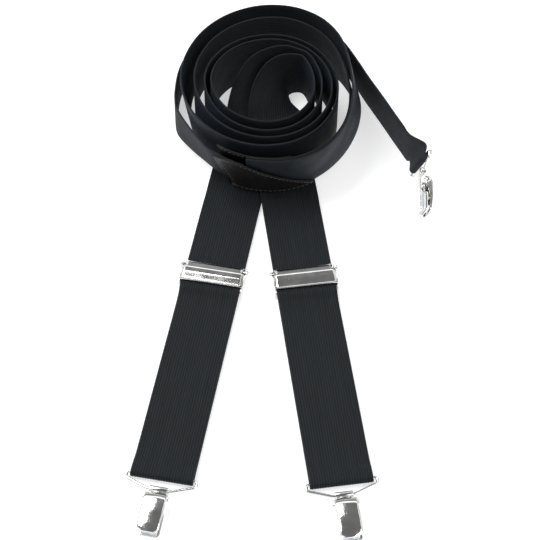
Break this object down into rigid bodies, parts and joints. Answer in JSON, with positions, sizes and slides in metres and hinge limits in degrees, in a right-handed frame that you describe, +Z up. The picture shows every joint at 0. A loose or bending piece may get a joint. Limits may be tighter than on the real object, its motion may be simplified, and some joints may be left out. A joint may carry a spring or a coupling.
{
  "type": "suspenders",
  "caption": "Y-back clip-on suspenders, rolled up: ribbed front straps in a loose coil with adjusters and clips, leather patch, narrow back strap and clip.",
  "frame": {"origin": "middle of the footprint, on the surface that the rolled suspenders lie on", "axes": "+Z up, +Y from the flat clip ends towards the coil, +X towards the back strap's clip"},
  "size_m": [0.1786, 0.3706, 0.0451],
  "materials": {
    "ribbed_elastic": "black elastic webbing with fine lengthwise ribs and a blue-black sheen",
    "smooth_elastic": "charcoal smooth-woven elastic",
    "leather": "smooth black leather with pale cut edges and black stitching",
    "nickel": "polished nickel-plated steel",
    "pad_plastic": "translucent white plastic grip pads"
  },
  "bodies": {
    "coil_and_straps": {"left_front_strap": "ribbed_elastic", "right_front_strap": "ribbed_elastic", "back_strap": "smooth_elastic", "outer_patch": "leather", "inner_patch": "leather"},
    "left_adjuster": {"left_adjuster_frame": "nickel", "left_adjuster_pin": "nickel", "left_adjuster_bar": "nickel"},
    "left_adjuster_cover": {"left_adjuster_cover": "nickel"},
    "left_strap_end": {"left_webbing_loop": "ribbed_elastic"},
    "left_bail": {"left_bail": "nickel"},
    "left_clip": {"left_clip_frame": "nickel", "left_clip_pin": "nickel", "left_clip_rear_pad": "pad_plastic"},
    "left_clip_lever": {"left_clip_lever": "nickel"},
    "left_clip_tongue": {"left_clip_tongue": "nickel", "left_clip_front_pad": "pad_plastic"},
    "right_adjuster": {"right_adjuster_frame": "nickel", "right_adjuster_pin": "nickel", "right_adjuster_bar": "nickel"},
    "right_adjuster_cover": {"right_adjuster_cover": "nickel"},
    "right_strap_end": {"right_webbing_loop": "ribbed_elastic"},
    "right_bail": {"right_bail": "nickel"},
    "right_clip": {"right_clip_frame": "nickel", "right_clip_pin": "nickel", "right_clip_rear_pad": "pad_plastic"},
    "right_clip_lever": {"right_clip_lever": "nickel"},
    "right_clip_tongue": {"right_clip_tongue": "nickel", "right_clip_front_pad": "pad_plastic"},
    "back_bail": {"back_bail": "nickel"},
    "back_clip": {"back_clip_frame": "nickel", "back_clip_pin": "nickel", "back_clip_rear_pad": "pad_plastic"},
    "back_clip_lever": {"back_clip_lever": "nickel"},
    "back_clip_tongue": {"back_clip_tongue": "nickel", "back_clip_front_pad": "pad_plastic"}
  },
  "joints": [
    {"name": "left_adjuster_slide", "type": "slide", "parent": "coil_and_straps", "child": "left_adjuster", "axis": [0.1843, 0.9829, 0], "range_m": [-0.1, 0.036]},
    {"name": "left_strap_end_slide", "type": "slide", "parent": "left_adjuster", "child": "left_strap_end", "axis": [0.1843, 0.9829, 0], "range_m": [-0.018, 0.05], "deforming": ["left_webbing_loop"]},
    {"name": "left_adjuster_cover_hinge", "type": "hinge", "parent": "left_adjuster", "child": "left_adjuster_cover", "pos_m": [-0.04263, -0.0054, 0.0049], "axis": [-0.9829, 0.1843, 0], "range_deg": [0, 65]},
    {"name": "left_bail_hinge", "type": "hinge", "parent": "left_strap_end", "child": "left_bail", "pos_m": [-0.06861, -0.14399, 0.0028], "axis": [-0.9829, 0.1843, 0], "range_deg": [0, 75]},
    {"name": "left_clip_hinge", "type": "hinge", "parent": "left_bail", "child": "left_clip", "pos_m": [-0.0702, -0.15244, 0.0028], "axis": [-0.9829, 0.1843, 0], "range_deg": [0, 25]},
    {"name": "left_clip_lever_hinge", "type": "hinge", "parent": "left_clip", "child": "left_clip_lever", "pos_m": [-0.07137, -0.15873, 0.0054], "axis": [-0.9829, 0.1843, 0], "range_deg": [0, 80]},
    {"name": "left_clip_tongue_hinge", "type": "hinge", "parent": "left_clip", "child": "left_clip_tongue", "pos_m": [-0.07137, -0.15873, 0.0054], "axis": [-0.9829, 0.1843, 0], "range_deg": [0, 18]},
    {"name": "right_adjuster_slide", "type": "slide", "parent": "coil_and_straps", "child": "right_adjuster", "axis": [-0.1351, 0.9908, 0], "range_m": [-0.1, 0.036]},
    {"name": "right_strap_end_slide", "type": "slide", "parent": "right_adjuster", "child": "right_strap_end", "axis": [-0.1351, 0.9908, 0], "range_m": [-0.018, 0.05], "deforming": ["right_webbing_loop"]},
    {"name": "right_adjuster_cover_hinge", "type": "hinge", "parent": "right_adjuster", "child": "right_adjuster_cover", "pos_m": [0.00984, -0.00728, 0.0049], "axis": [-0.9908, -0.1351, 0], "range_deg": [0, 65]},
    {"name": "right_bail_hinge", "type": "hinge", "parent": "right_strap_end", "child": "right_bail", "pos_m": [0.02889, -0.14699, 0.0028], "axis": [-0.9908, -0.1351, 0], "range_deg": [0, 75]},
    {"name": "right_clip_hinge", "type": "hinge", "parent": "right_bail", "child": "right_clip", "pos_m": [0.03005, -0.15551, 0.0028], "axis": [-0.9908, -0.1351, 0], "range_deg": [0, 25]},
    {"name": "right_clip_lever_hinge", "type": "hinge", "parent": "right_clip", "child": "right_clip_lever", "pos_m": [0.03092, -0.16185, 0.0054], "axis": [-0.9908, -0.1351, 0], "range_deg": [0, 80]},
    {"name": "right_clip_tongue_hinge", "type": "hinge", "parent": "right_clip", "child": "right_clip_tongue", "pos_m": [0.03092, -0.16185, 0.0054], "axis": [-0.9908, -0.1351, 0], "range_deg": [0, 18]},
    {"name": "back_bail_hinge", "type": "hinge", "parent": "coil_and_straps", "child": "back_bail", "pos_m": [0.08187, 0.06807, 0.015], "axis": [0.2999, -0.2, 0.9328], "range_deg": [-60, 0]},
    {"name": "back_clip_hinge", "type": "hinge", "parent": "back_bail", "child": "back_clip", "pos_m": [0.08161, 0.05964, 0.01328], "axis": [0.2999, -0.2, 0.9328], "range_deg": [-25, 0]},
    {"name": "back_clip_lever_hinge", "type": "hinge", "parent": "back_clip", "child": "back_clip_lever", "pos_m": [0.08389, 0.05346, 0.01122], "axis": [0.2999, -0.2, 0.9328], "range_deg": [0, 80]},
    {"name": "back_clip_tongue_hinge", "type": "hinge", "parent": "back_clip", "child": "back_clip_tongue", "pos_m": [0.08389, 0.05346, 0.01122], "axis": [0.2999, -0.2, 0.9328], "range_deg": [0, 18]}
  ],
  "couplings": [
    {"joint": "left_strap_end_slide", "follows": "left_adjuster_slide", "ratio": -0.5},
    {"joint": "left_clip_tongue_hinge", "follows": "left_clip_lever_hinge", "ratio": 0.225},
    {"joint": "right_strap_end_slide", "follows": "right_adjuster_slide", "ratio": -0.5},
    {"joint": "right_clip_tongue_hinge", "follows": "right_clip_lever_hinge", "ratio": 0.225},
    {"joint": "back_clip_tongue_hinge", "follows": "back_clip_lever_hinge", "ratio": 0.225}
  ]
}
